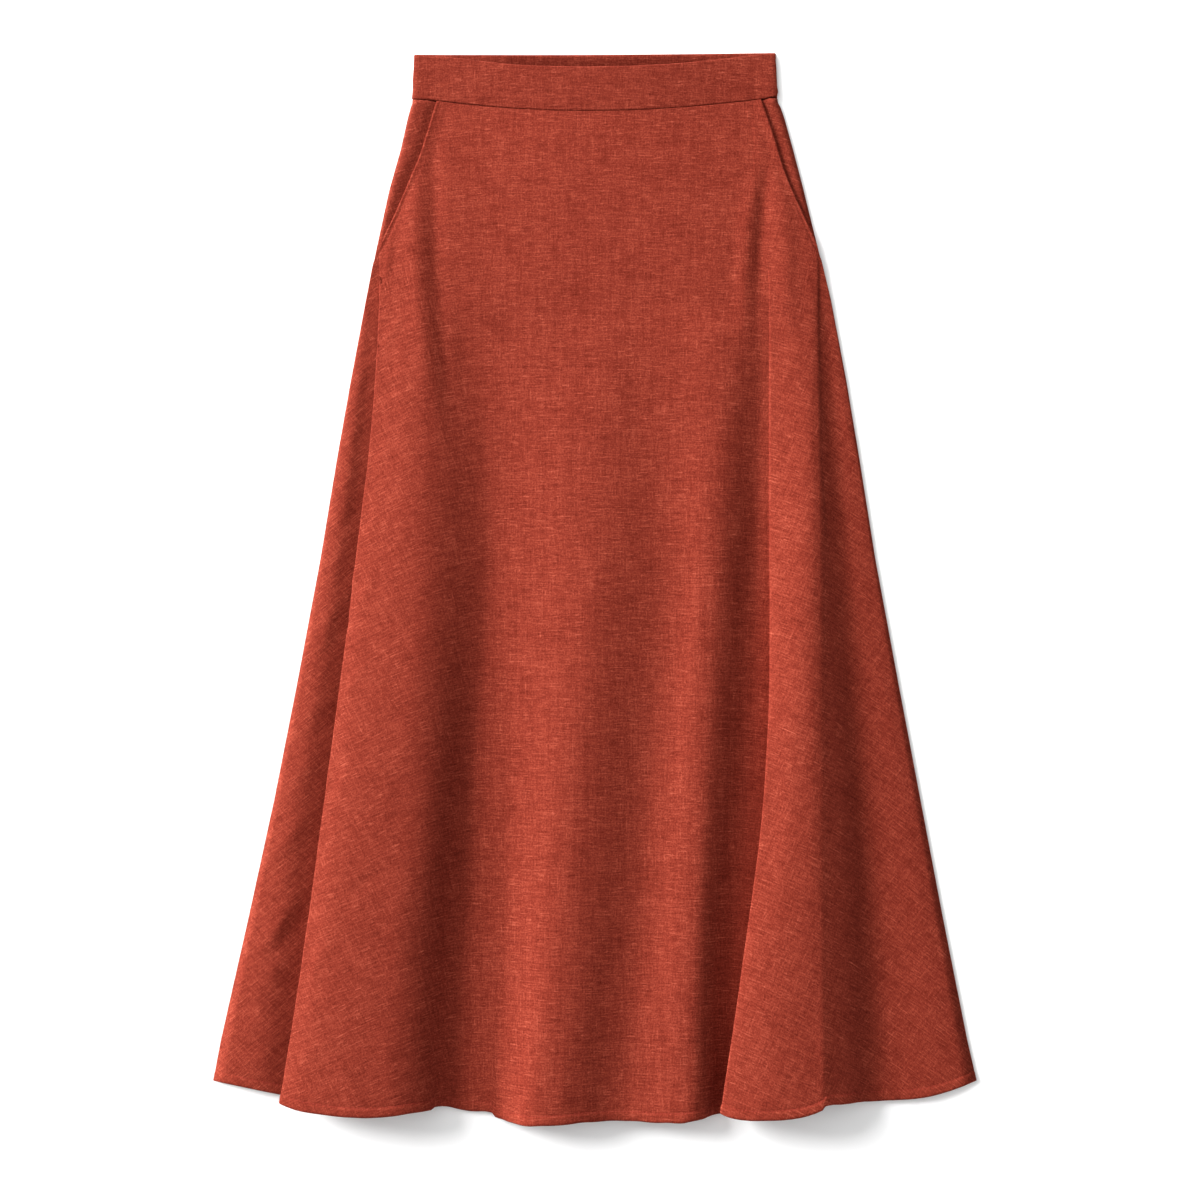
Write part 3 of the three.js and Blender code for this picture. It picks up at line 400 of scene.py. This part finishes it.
def build_front():
    t, g, ang = front_grid()
    rows, cols = g.shape[:2]
    x, y, z = g[..., 0], g[..., 1], g[..., 2]
    length = np.linalg.norm(np.diff(g, axis=0), axis=2)
    from_hem = np.concatenate([np.cumsum(length[::-1], 0)[::-1], np.zeros((1, cols))])
    from_top = np.concatenate([np.zeros((1, cols)), np.cumsum(length, 0)])
    # distance in from each side edge, along the cloth
    across = np.linalg.norm(np.diff(g, axis=1), axis=2)
    s_left = np.concatenate([np.zeros((rows, 1)), np.cumsum(across, 1)], 1)
    s_right = s_left[:, -1:] - s_left
    inset = step(0, 14, np.minimum(s_left, s_right)) * step(0, 10, from_top)
    lie = np.minimum(1, (z - 1.5) / 3.0)          # less movement where the cloth lies on what is under it
    d = creases(x, y, CREASES_FRONT) * (1 + 0.8 * step(-196, -214, x) + 0.8 * step(216, 226, x))
    small = [row for row in CREASES_FRONT if abs(row[5]) < 0.7]
    d += 0.8 * creases(x, y, small) * step(-212, -198, x) * step(-110, -132, x) * step(310, 280, y)
    d = np.where(d < 0, d * np.clip(lie, 0.25, 1), d) * inset
    # light crumple that a washed linen keeps
    d += 0.16 * lattice((rows, cols), 34, 22, 5) * inset
    d += 0.09 * lattice((rows, cols), 74, 46, 6) * inset
    # gathers just under the waistband
    d += 0.14 * lattice((rows, cols), 2, 64, 7) * np.exp(-from_top / 16) * step(0, 3, from_top)
    # short puckers above the hem stitching
    pucker = lattice((rows, cols), 3, 118, 8)
    d += (0.32 + 0.3 * step(216, 240, x) + 0.25 * step(96, 106, x) * (1 - step(112, 124, x))) * pucker * np.exp(-((from_hem - 7) / 9) ** 2)
    d += 0.22 * lattice((rows, cols), 3, 46, 9) * np.exp(-(from_hem / 34) ** 2)
    # the mouths' edges stand up a little
    for away, low_y in ((s_left, 329), (s_right, 331)):
        d += 0.7 * step(low_y - 4, low_y + 6, y) * np.exp(-(away / 3.6) ** 2) * step(0, 3, from_top)
    n = normals(g)
    g = g + n * d[..., None]
    # the edge of the hem waves a little
    g[..., 1] += (0.5 * lattice((rows, cols), 2, 60, 10) * np.exp(-(from_hem / 14) ** 2))
    # three flutes end in a crisp corner at the hem
    near = np.exp(-(from_hem / 55) ** 2)
    for x0, far, rise in ((-156, 30, 2.4), (217.5, 26, 3.6)):
        g[..., 1] += rise * step(x0 - 1, x0 + 2, x) * (1 - step(x0 + 4, x0 + far, x)) * near
    g[..., 1] += 3.6 * step(-96, -97.5, x) * (1 - step(-99, -122, x)) * near
    over = hem_profile(from_hem)
    # a turned edge at the mouth of each pocket
    open_l = step(326, 334, y) * np.exp(-(s_left / 7) ** 4)
    open_r = step(328, 336, y) * np.exp(-(s_right / 7) ** 4)
    over = over + 0.3 * (open_l + open_r)
    thick = CLOTH + 2 * np.maximum(over, -0.35)
    thick = thick * (0.45 + 0.55 * step(0, 0.9, from_hem))
    rim = np.minimum(s_left + 9 * step(330, 322, y), s_right + 9 * step(332, 324, y))
    thick = thick * (0.3 + 0.7 * np.sqrt(np.clip(rim / 1.5, 0, 1)))
    # weave coordinates: the weft's run smoothly round with the flare
    slope = np.tan(np.radians(ang))
    fade = 0.3 + 0.7 * step(400, 140, y)
    rise = np.cumsum(np.concatenate([np.zeros((rows, 1)), np.diff(g[..., 0], axis=1)], 1) * slope[None, :], 1)
    rise = rise - rise[:, [int(cols * 0.5)]]
    weft = np.stack([x, y - rise * fade], 2)
    # the warp's are straight at seven angles, in two sets that take turns across the panel
    turned = np.interp(-np.broadcast_to(ang, x.shape) * np.minimum(1, fade * 1.05), [-44, -27, -13, 0, 13, 23, 36], np.arange(7.0))
    sets = []
    for first in (0, 1):
        k = np.clip(2 * np.round((turned - first) / 2) + first, 0, 6)
        w = np.radians(np.interp(k, np.arange(7.0), [44, 27, 13, 0, -13, -23, -36]))
        sets.append(np.stack([x * np.cos(w) + y * np.sin(w) + 90 * k, -x * np.sin(w) + y * np.cos(w) + 40 * k], 2))
    away = np.abs(turned - 2 * np.round(turned / 2))
    share = np.stack([step(0.25, 0.75, away), 0 * away], 2)
    ob, top, nn = shell("front_panel_cloth", g, thick, {"weave": weft, "warp_a": sets[0], "warp_b": sets[1], "share": share})
    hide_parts("front_panel")
    return ob, top, nn, from_hem


# ------------------------------------------------------------------ back panel
CREASES_BACK = [
    (-120, 120, 260, 22, 84, 0.5), (60, 60, 300, 26, 95, 0.55), (150, -160, 260, 22, 80, 0.5), (-210, -240, 240, 20, 102, 0.55),
    (10, -300, 240, 24, 90, 0.5), (250, -330, 180, 18, 74, 0.5), (-60, 320, 160, 20, 92, 0.35), (-290, -380, 140, 15, 108, 0.45),
    (110, 300, 120, 16, 70, 0.35), (-150, -60, 140, 15, 60, 0.4), (90, -420, 120, 14, 112, 0.4), (200, 60, 110, 13, 104, 0.35),
]


def build_back():
    length = 978.0
    low = np.array([20, 16, 13, 11.2, 10.2, 9.4, 8.6, 7.4, 5.4, 3, 1.2, 0.3, 0])
    t = np.concatenate([[0, 1.2, 3, 6], np.linspace(11, length - 26, 150), length - low]) / length
    s = np.linspace(-1, 1, 190)
    s = np.sign(s) * (1 - (1 - np.abs(s)) ** 1.12)
    T, S = np.meshgrid(t, s, indexing="ij")
    top = BACK_SEAM - GAP
    y0 = top + (-478.0 - top) * T
    left, right = side_x(y0, "L"), side_x(y0, "R")
    x = (left + right) / 2 + (right - left) / 2 * S
    hem = smooth(BACK_HEM[:, 0], BACK_HEM[:, 1], x)
    y = y0 + (hem + 478.0) * T**3
    from_hem = (1 - T) * length
    z = np.full_like(x, CLOTH / 2 + 0.02)
    inset = step(0, 0.06, 1 - np.abs(S)) * step(0, 0.02, T) * step(0, 0.03, 1 - T)
    clear = 1 - step(215, 235, y) * step(70, 80, np.abs(x))          # the pockets lie here: keep it flat
    rise = np.maximum(0, creases(x, y, CREASES_BACK)) * inset * clear
    rise += 0.06 * (1 + lattice(x.shape, 40, 30, 21)) * inset * clear
    z = z + rise
    g = np.stack([x, y, z], 2)
    hemfold = 0.25 * step(0, 0.8, from_hem) * (1 - step(9.6, 10.6, from_hem)) - 0.25 * np.exp(-((from_hem - HEM_DEPTH) / 0.8) ** 2)
    thick = (CLOTH + 0 * x) * (0.5 + 0.5 * step(0, 0.8, from_hem)) + np.minimum(0, hemfold)
    # the flare turns the weave towards both sides
    u = x + 0.2 * S * (y - 100)
    v = y + 0.5 * 26 / 57.3 * S * S * np.abs(right - left) / 2 * step(400, 60, y)
    uv = np.stack([u, v], 2) + np.array([900.0, 40.0])
    ob, _, n = shell("back_panel_cloth", g, thick, {"weave": uv})
    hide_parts("back_panel")
    return ob, g, n


# ------------------------------------------------------------------ waistband
def band_rows():
    return np.array([0, 0.012, 0.03, 0.06, 0.1, 0.16, 0.24, 0.33, 0.42, 0.5, 0.58, 0.67, 0.76, 0.84, 0.9, 0.94, 0.97, 0.988, 1.0])


CREASES_BAND = [
    (171, 497.5, 13, 2.8, 30, 0.55), (171, 492.6, 13, 2.6, 26, -0.45), (169.5, 488.2, 15, 2.8, 20, 0.55), (168.5, 485, 16, 2.4, 14, -0.4),
    (166.5, 481.6, 21, 3, 8, 0.55), (150, 486, 30, 6, 4, 0.2), (-168, 500, 22, 5, 6, 0.25), (-166, 486, 26, 5, -4, 0.25),
    (-120, 492, 60, 9, 12, 0.22), (-40, 486, 80, 10, -4, 0.2), (50, 490, 80, 10, 5, 0.2), (118, 490, 60, 9, -10, 0.24),
    (0, 469, 150, 5, 1, 0.22), (-96, 472, 90, 5, -4, 0.2), (96, 472, 90, 5, 4, 0.2),
]


def build_front_band():
    s = band_rows()[::-1]
    x0 = np.concatenate([[-176.4, -176.0, -175.2, -174.0, -172.2, -170.0], np.linspace(-167, 167, 128), [170.0, 172.2, 174.0, 175.2, 176.0, 176.4]])
    S, X = np.meshgrid(s, x0, indexing="ij")
    seam = smooth(FRONT_BAND[:, 0], FRONT_BAND[:, 1], X) + GAP / 2
    top = smooth(FRONT_BAND[:, 0], FRONT_BAND[:, 2], X)
    z = smooth(FRONT_BAND[:, 0], FRONT_BAND[:, 3], X) * (1 - S) + smooth(FRONT_BAND[:, 0], FRONT_BAND[:, 4], X) * S
    x = X - 1.7 * S * X / 176.4
    # the ends are not quite straight
    x = x + step(160, 176.4, X) * table([0, 0.05, 0.11, 0.2, 0.5, 0.74, 0.8, 0.9, 1], [-0.2, -0.1, 0.9, 0.1, 0, 0.1, -0.5, 0, 0], S)
    x = x - step(160, 176.4, -X) * table([0, 0.2, 0.45, 0.7, 1], [0.4, -0.3, 0.3, -0.2, 0], S)
    y = seam + (top - seam) * S
    end = np.clip((np.abs(X) - 170) / 6.4, 0, 1)
    z = z - (z - 2.75) * (1 - np.sqrt(np.maximum(0, 1 - end**2))) * 0.9      # the ends roll down to the side folds
    inset = step(0, 0.05, S) * step(0, 0.05, 1 - S)
    z = z + creases(x, y, CREASES_BAND) * inset * (1 - end)
    z = z + 0.05 * lattice(x.shape, 3, 40, 31) * inset * (1 - end)
    g = np.stack([x, y, z], 2)
    from_edge = np.minimum(S, 1 - S) * 43
    thick = BAND * (0.35 + 0.65 * np.sqrt(np.clip(from_edge / 0.9, 0, 1)))
    thick = thick * (0.55 + 0.45 * np.sqrt(np.clip((176.4 - np.abs(X)) / 2.2, 0, 1)))
    uv = np.stack([x + 40, y + (0.00014 * x * x)], 2) + np.array([1700.0, 300.0])
    ob, _, _ = shell("waistband_front_cloth", g, thick, {"weave": uv})
    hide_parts("waistband_front")
    return ob


def build_back_band():
    s = band_rows()[::-1]
    x0 = np.concatenate([[-176.4, -175.8, -174.6, -172.5, -170], np.linspace(-166, 166, 110), [170, 172.5, 174.6, 175.8, 176.4]])
    S, X = np.meshgrid(s, x0, indexing="ij")
    top = smooth(BACK_TOP[:, 0], BACK_TOP[:, 1], X)
    x = X - 1.6 * S * X / 176.4
    y = BACK_SEAM + (top - BACK_SEAM) * S
    from_edge = np.minimum(S, 1 - S) * 43
    thick = BAND * (0.4 + 0.6 * np.sqrt(np.clip(from_edge / 0.9, 0, 1)))
    thick = thick * (0.6 + 0.4 * np.sqrt(np.clip((176.4 - np.abs(X)) / 2.2, 0, 1)))
    # its top edge stands up where the waist is open, and falls away under the front
    open_ = step(174, 60, np.abs(X))
    z = thick / 2 + 0.02 + 3.4 * open_ * step(0.68, 1.0, S)
    g = np.stack([x, y, z], 2)
    uv = np.stack([x, y], 2) + np.array([2500.0, 700.0])
    ob, _, _ = shell("waistband_back_cloth", g, thick, {"weave": uv})
    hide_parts("waistband_back")
    return ob


# ------------------------------------------------------------------ pockets
# Bag outline, left pocket: y, outer x below the mouth, inner x
BAG = np.array([
    (227, -140, -124), (229, -154, -114), (234, -166, -105), (243, -179, -97.5), (258, -189.5, -90), (280, -197, -86.5),
    (300, -201.5, -84), (312, -204, -83.6), (400, -190, -82), (471, -150, -81),
])


CREASES_FACING = [(-176.5, 434.7, 18, 4, 38, -0.55), (-191.8, 389, 17, 4, 14, -0.55), (-183, 412, 22, 7, 62, 0.3), (192, 404, 24, 6, 118, 0.3)]


def build_pocket(side, kind):
    flip, k = (1, 0) if side == "L" else (-1, 2)
    y0 = np.concatenate([np.linspace(471, 330, 36), np.linspace(326, 250, 18), [243, 238, 234, 231, 229, 227.6]])
    v = np.linspace(0, 1, 36)
    inner = flip * table(BAG[:, 0], BAG[:, 2], y0)
    bag_outer = flip * table(BAG[:, 0], BAG[:, 1], y0)
    if kind == "facing":
        outer = np.where(y0 > 327, side_x(y0, side) - flip * (-0.35), bag_outer)
        join = table([312, 327], [0, 1], y0)
        outer = np.where((y0 <= 327) & (y0 > 312), bag_outer + (side_x(y0, side) + flip * 0.6 - bag_outer) * join**2, outer)
        mid_z, thick = 1.78, 0.85
    else:
        outer = np.where(y0 > 330, smooth(MOUTH[:, k + 1], MOUTH[:, k], y0) + flip * 1.0, bag_outer)
        join = table([312, 330], [0, 1], y0)
        outer = np.where((y0 <= 330) & (y0 > 312), bag_outer + (MOUTH[-1, k] + flip * 1.2 - bag_outer) * join, outer)
        mid_z, thick = 3.1, 0.7
    x = outer[:, None] + (inner - outer)[:, None] * v[None, :]
    if flip < 0:
        x = x[:, ::-1]
    y = np.repeat(y0[:, None], len(v), 1)
    roof = np.minimum(seam_y(x) - 0.45, BACK_SEAM - 0.2)
    y = y - step(360, 471, y) * (471 - roof)
    z = np.full_like(x, mid_z)
    if kind == "facing":
        soft = step(0, 0.1, v)[None, :] * step(0, 0.1, 1 - v)[None, :]
        z = z + 0.12 * np.abs(lattice(x.shape, 14, 8, 41 if side == "L" else 42)) * soft
        # it dives under the panel at the mouth and comes up to the waistband at its top
        outside = flip * (smooth(MOUTH[:, k + 1], MOUTH[:, k], y) - x)
        from_rim = np.abs(x - outer[:, None])
        show = step(322, 336, y)
        z = z + 2.0 * step(-0.5, 10, outside) * step(0, 4, from_rim) * show
        z = z + 1.1 * step(452, 470, y) * step(-4, 1, outside) * step(0, 2.5, from_rim)
        z = z + creases(x, y, CREASES_FACING) * step(0, 5, outside) * step(0, 3, from_rim)
    g = np.stack([x, y, z], 2)
    turn = math.radians(20) * flip
    uv = np.stack([x * math.cos(turn) + y * math.sin(turn), y * math.cos(turn) - x * math.sin(turn)], 2) + np.array([3100.0 + 400 * k, 900.0 if kind == "bag" else 200.0])
    word = "left" if side == "L" else "right"
    ob, _, _ = shell(f"pocket_{kind}_{word}_cloth", g, thick, {"weave": uv})
    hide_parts(f"pocket_{kind}_{word}")
    return ob


# ------------------------------------------------------------------ hem stitches
def build_stitches(name, path, nrm, up, pitch=3.5, share=0.72, r=0.26):
    """Short thread capsules along a path of points, each lying on the cloth."""
    seg = np.linalg.norm(np.diff(path, axis=0), axis=1)
    s = np.concatenate([[0], np.cumsum(seg)])
    count = int(s[-1] / pitch)
    verts, faces = [], []
    for i in range(count):
        a0 = (i + 0.5 * (1 - share)) * pitch
        pts = []
        for f in (0, 0.2, 0.5, 0.8, 1):
            q = a0 + f * share * pitch
            p = np.array([np.interp(q, s, path[:, c]) for c in range(3)])
            nn = np.array([np.interp(q, s, nrm[:, c]) for c in range(3)])
            nn /= np.linalg.norm(nn)
            pts.append((p, nn, f))
        d = pts[-1][0] - pts[0][0]
        d /= np.linalg.norm(d)
        base = len(verts)
        for p, nn, f in pts:
            side = np.cross(nn, d)
            rad = r * (0.35 if f in (0, 1) else 1.0)
            lift = (-0.12 if f in (0, 1) else 0.1)
            for k in range(6):
                w = 2 * math.pi * k / 6
                verts.append(p + nn * (lift + rad * math.sin(w)) * up + side * rad * math.cos(w))
        for ring in range(4):
            for k in range(6):
                a, b = base + ring * 6 + k, base + ring * 6 + (k + 1) % 6
                faces.append((a, b, b + 6, a + 6) if up > 0 else (a, a + 6, b + 6, b))
        faces.append(tuple(base + k for k in (range(5, -1, -1) if up > 0 else range(6))))
        faces.append(tuple(base + 24 + k for k in (range(6) if up > 0 else range(5, -1, -1))))
    return make(name, verts, faces, {"weave": np.array(verts)[:, :2]})


# ------------------------------------------------------------------ materials
def new_material(name):
    m = bpy.data.materials.new(name)
    m.use_nodes = True
    nt = m.node_tree
    nt.nodes.clear()
    out = nt.nodes.new("ShaderNodeOutputMaterial")
    bsdf = nt.nodes.new("ShaderNodeBsdfPrincipled")
    nt.links.new(bsdf.outputs[0], out.inputs[0])
    return m, nt, bsdf


def linen(name, base, dark, light, amount=1.0, crossed=False):
    """Slubby plain weave. base, dark and light are linear colours. crossed: the warp has two sets of coordinates."""
    m, nt, bsdf = new_material(name)
    N, L = nt.nodes.new, nt.links.new

    def coords(key):
        uv = N("ShaderNodeUVMap")
        uv.uv_map = key
        return uv.outputs[0]

    def scaled(vec, sx, sy, dx=0.0, dy=0.0):
        mp = N("ShaderNodeMapping")
        mp.inputs["Scale"].default_value = (sx, sy, 1)
        mp.inputs["Location"].default_value = (dx, dy, 0)
        L(vec, mp.inputs[0])
        return mp.outputs[0]

    def noise(vec, detail=2.0, rough=0.5, wander=0.0):
        n = N("ShaderNodeTexNoise")
        n.noise_dimensions = "2D"
        n.inputs["Scale"].default_value = 1.0
        n.inputs["Detail"].default_value = detail
        n.inputs["Roughness"].default_value = rough
        n.inputs["Distortion"].default_value = wander
        L(vec, n.inputs["Vector"])
        return n.outputs["Fac"]

    def remap(v, a, b, c, d):
        r = N("ShaderNodeMapRange")
        r.interpolation_type = "SMOOTHSTEP"
        for k, x in zip(("From Min", "From Max", "To Min", "To Max"), (a, b, c, d)):
            r.inputs[k].default_value = x
        L(v, r.inputs["Value"])
        return r.outputs[0]

    def math_(op, a, b):
        n = N("ShaderNodeMath")
        n.operation = op
        for k, x in enumerate((a, b)):
            if isinstance(x, (int, float)):
                n.inputs[k].default_value = x
            else:
                L(x, n.inputs[k])
        return n.outputs[0]

    def part(v, weight):
        return math_("MULTIPLY", math_("SUBTRACT", v, 0.5), weight * amount)

    w = coords("weave")
    weft = noise(scaled(w, 70, 700), 2.0, 0.62, 0.2)
    # slubs: short thick places in single yarns
    slub_weft = remap(noise(scaled(w, 80, 760, 7.7, 2.2), 1.0, 0.5, 0.15), 0.63, 0.77, 0, 1)
    bars = noise(scaled(w, 16, 190, 5.5, 9.1), 2.0, 0.6, 0.1)
    if crossed:
        share = N("ShaderNodeSeparateXYZ")
        L(coords("share"), share.inputs[0])
        sets = []
        for key in ("warp_a", "warp_b"):
            c = coords(key)
            sets.append((noise(scaled(c, 680, 78, 3.1, 1.7), 2.0, 0.62, 0.2), noise(scaled(c, 200, 13, 8.2, 4.4), 2.0, 0.6, 0.1)))
        both = []
        for a, b in zip(*sets):
            mix = N("ShaderNodeMix")
            mix.data_type = "FLOAT"
            L(share.outputs[0], mix.inputs["Factor"])
            L(a, mix.inputs["A"])
            L(b, mix.inputs["B"])
            both.append(mix.outputs["Result"])
        warp, posts = both
    else:
        warp = noise(scaled(w, 680, 78, 3.1, 1.7), 2.0, 0.62, 0.2)
        posts = noise(scaled(w, 200, 13, 8.2, 4.4), 2.0, 0.6, 0.1)
    slub_warp = remap(warp, 0.66, 0.79, 0, 1)
    grain = noise(scaled(w, 640, 640, 2.0, 6.0), 1.0, 0.5)
    patch = noise(scaled(w, 34, 34, 4.0, 4.0), 3.0, 0.55)

    total = part(weft, 0.54)
    total = math_("ADD", total, part(warp, 0.32))
    total = math_("ADD", total, part(bars, 0.20))
    total = math_("ADD", total, part(posts, 0.20))
    total = math_("ADD", total, part(grain, 0.58))
    total = math_("ADD", total, part(patch, 0.18))
    total = math_("ADD", total, math_("MULTIPLY", slub_weft, 0.28 * amount))
    total = math_("ADD", total, math_("MULTIPLY", slub_warp, 0.18 * amount))
    ramp = N("ShaderNodeValToRGB")
    ramp.color_ramp.interpolation = "LINEAR"
    ramp.color_ramp.elements[0].position = 0.0
    ramp.color_ramp.elements[0].color = (*dark, 1)
    ramp.color_ramp.elements[1].position = 1.0
    ramp.color_ramp.elements[1].color = (*light, 1)
    e = ramp.color_ramp.elements.new(0.42)
    e.color = (*base, 1)
    L(math_("ADD", total, 0.40), ramp.inputs[0])
    L(ramp.outputs[0], bsdf.inputs["Base Color"])
    # relief of the yarns and slubs
    height = math_("ADD", math_("MULTIPLY", weft, 0.7), math_("MULTIPLY", warp, 0.6))
    height = math_("ADD", height, math_("MULTIPLY", slub_weft, 0.3))
    bump = N("ShaderNodeBump")
    bump.inputs["Strength"].default_value = 0.5
    bump.inputs["Distance"].default_value = 0.0005
    L(height, bump.inputs["Height"])
    L(bump.outputs[0], bsdf.inputs["Normal"])
    L(remap(weft, 0.3, 0.7, 0.84, 0.96), bsdf.inputs["Roughness"])
    bsdf.inputs["Sheen Weight"].default_value = 0.04
    bsdf.inputs["Sheen Roughness"].default_value = 0.5
    bsdf.inputs["Sheen Tint"].default_value = (1.0, 0.72, 0.62, 1)
    bsdf.inputs["Specular IOR Level"].default_value = 0.12
    return m


def thread_material():
    m, nt, bsdf = new_material("thread")
    N, L = nt.nodes.new, nt.links.new
    tc = N("ShaderNodeTexCoord")
    n = N("ShaderNodeTexNoise")
    n.inputs["Scale"].default_value = 2600
    L(tc.outputs["Object"], n.inputs["Vector"])
    ramp = N("ShaderNodeValToRGB")
    ramp.color_ramp.elements[0].color = (0.20, 0.022, 0.013, 1)
    ramp.color_ramp.elements[1].color = (0.36, 0.055, 0.034, 1)
    L(n.outputs["Fac"], ramp.inputs[0])
    L(ramp.outputs[0], bsdf.inputs["Base Color"])
    bump = N("ShaderNodeBump")
    bump.inputs["Strength"].default_value = 0.3
    bump.inputs["Distance"].default_value = 0.0001
    L(n.outputs["Fac"], bump.inputs["Height"])
    L(bump.outputs[0], bsdf.inputs["Normal"])
    bsdf.inputs["Roughness"].default_value = 0.7
    return m


BASE = (0.253, 0.0538, 0.0346)
DARK = (0.128, 0.0200, 0.0116)
LIGHT = (0.470, 0.1370, 0.0900)


# darkens a colour by k: gives the darker copies of the linen, painted shade, used on the waistband and pocket facings
def shaded(rgb, k):
    return tuple(c * k for c in rgb)


front_cloth = linen("linen_terracotta_front", BASE, DARK, LIGHT, 1.0, True)
body_cloth = linen("linen_terracotta", BASE, DARK, LIGHT)
# painted shade: the waistband uses the skirt's own linen darkened to 0.93, a shaded copy standing in for shade
band_cloth_painted_shade = linen("linen_terracotta_band_painted_shade", shaded(BASE, 0.93), shaded(DARK, 0.93), shaded(LIGHT, 0.93))
# painted shade: the pocket facings use the skirt's own linen darkened to 0.90, standing in for the shade beside the
# pocket mouths
facing_cloth_painted_shade = linen("linen_terracotta_facing_painted_shade", shaded(BASE, 0.90), shaded(DARK, 0.90), shaded(LIGHT, 0.90))
bag_cloth = linen("pocket_cotton", (0.25, 0.056, 0.038), (0.19, 0.040, 0.026), (0.32, 0.08, 0.055), 0.5)
thread = thread_material()

# ------------------------------------------------------------------ camera first, then the pieces
CAM_X, CAM_Y, CAM_H = 4.99, -12.70, 1750.0
cam_data = bpy.data.cameras.new("camera")
cam_data.sensor_fit = "HORIZONTAL"
cam_data.sensor_width = 36.0
cam_data.lens = 36.0 * CAM_H / (1200 * 0.9695)
cam_data.clip_start, cam_data.clip_end = 0.05, 50
cam = bpy.data.objects.new("camera", cam_data)
bpy.context.scene.collection.objects.link(cam)
cam.location = (CAM_X * MM, CAM_Y * MM, CAM_H * MM)
cam.rotation_euler = (0, 0, 0)
bpy.context.scene.camera = cam

front, front_top, front_n, from_hem = build_front()
front.data.materials.append(front_cloth)
back, back_mid, back_n = build_back()
back.data.materials.append(body_cloth)
band_front = build_front_band()
band_front.data.materials.append(band_cloth_painted_shade)
band_back = build_back_band()
band_back.data.materials.append(band_cloth_painted_shade)
facings, bags = [], []
for side in "LR":
    ob = build_pocket(side, "facing")
    ob.data.materials.append(facing_cloth_painted_shade)
    facings.append(ob)
    ob = build_pocket(side, "bag")
    ob.data.materials.append(bag_cloth)
    bags.append(ob)

# stitches on the outside of the front hem
rows_at = np.argmin(np.abs(from_hem - HEM_DEPTH), axis=0)
cols_at = np.arange(front_top.shape[1])
hem_front = build_stitches("hem_stitches_front", front_top[rows_at, cols_at][2:-2], front_n[rows_at, cols_at][2:-2], 1)
hem_front.data.materials.append(thread)

# ------------------------------------------------------------------ surface and light
floor_mesh = bpy.data.meshes.new("floor")
floor_mesh.from_pydata([(-6, -6, 0), (6, -6, 0), (6, 6, 0), (-6, 6, 0)], [], [(0, 1, 2, 3)])
floor = bpy.data.objects.new("floor", floor_mesh)
bpy.context.scene.collection.objects.link(floor)
fm, fnt, fb = new_material("white_surface")
fb.inputs["Base Color"].default_value = (0.93, 0.93, 0.93, 1)
fb.inputs["Roughness"].default_value = 0.9
fb.inputs["Specular IOR Level"].default_value = 0.1
floor_mesh.materials.append(fm)

world = bpy.data.worlds.new("studio")
bpy.context.scene.world = world
world.use_nodes = True
bg = world.node_tree.nodes["Background"]
bg.inputs[0].default_value = (1.0, 1.0, 1.0, 1)
bg.inputs[1].default_value = 0.05


def sun_from(name, toward, energy, spread):
    """A wide soft light far away, in the direction toward."""
    data = bpy.data.lights.new(name, "SUN")
    data.energy = energy
    data.angle = math.radians(spread)
    ob = bpy.data.objects.new(name, data)
    bpy.context.scene.collection.objects.link(ob)
    ob.rotation_euler = Vector(toward).to_track_quat("Z", "Y").to_euler()
    ob.location = Vector(toward).normalized() * 2.5


sun_from("key_low_upper_left", (-0.80, 0.50, 0.29), 5.5, 33)
sun_from("fill_low_right", (0.90, -0.20, 0.34), 0.16, 40)
sun_from("soft_overhead", (-0.10, 0.12, 1.0), 1.5, 120)

# a soft box near the waistband, so the light falls off a little towards the hem
box = bpy.data.lights.new("soft_box_top", "AREA")
box.energy = 1.1
box.shape = "SQUARE"
box.size = 0.6
box_ob = bpy.data.objects.new("soft_box_top", box)
bpy.context.scene.collection.objects.link(box_ob)
box_ob.location = (-0.25, 0.75, 0.55)
box_ob.rotation_euler = (Vector((-0.25, 0.75, 0.55)) - Vector((0, 0.25, 0))).to_track_quat("Z", "Y").to_euler()
box_ob.visible_camera = False

bpy.context.scene.view_settings.view_transform = "Standard"
bpy.context.scene.view_settings.look = "High Contrast"
bpy.context.scene.view_settings.exposure = 0.0
bpy.context.scene.view_settings.gamma = 1.0
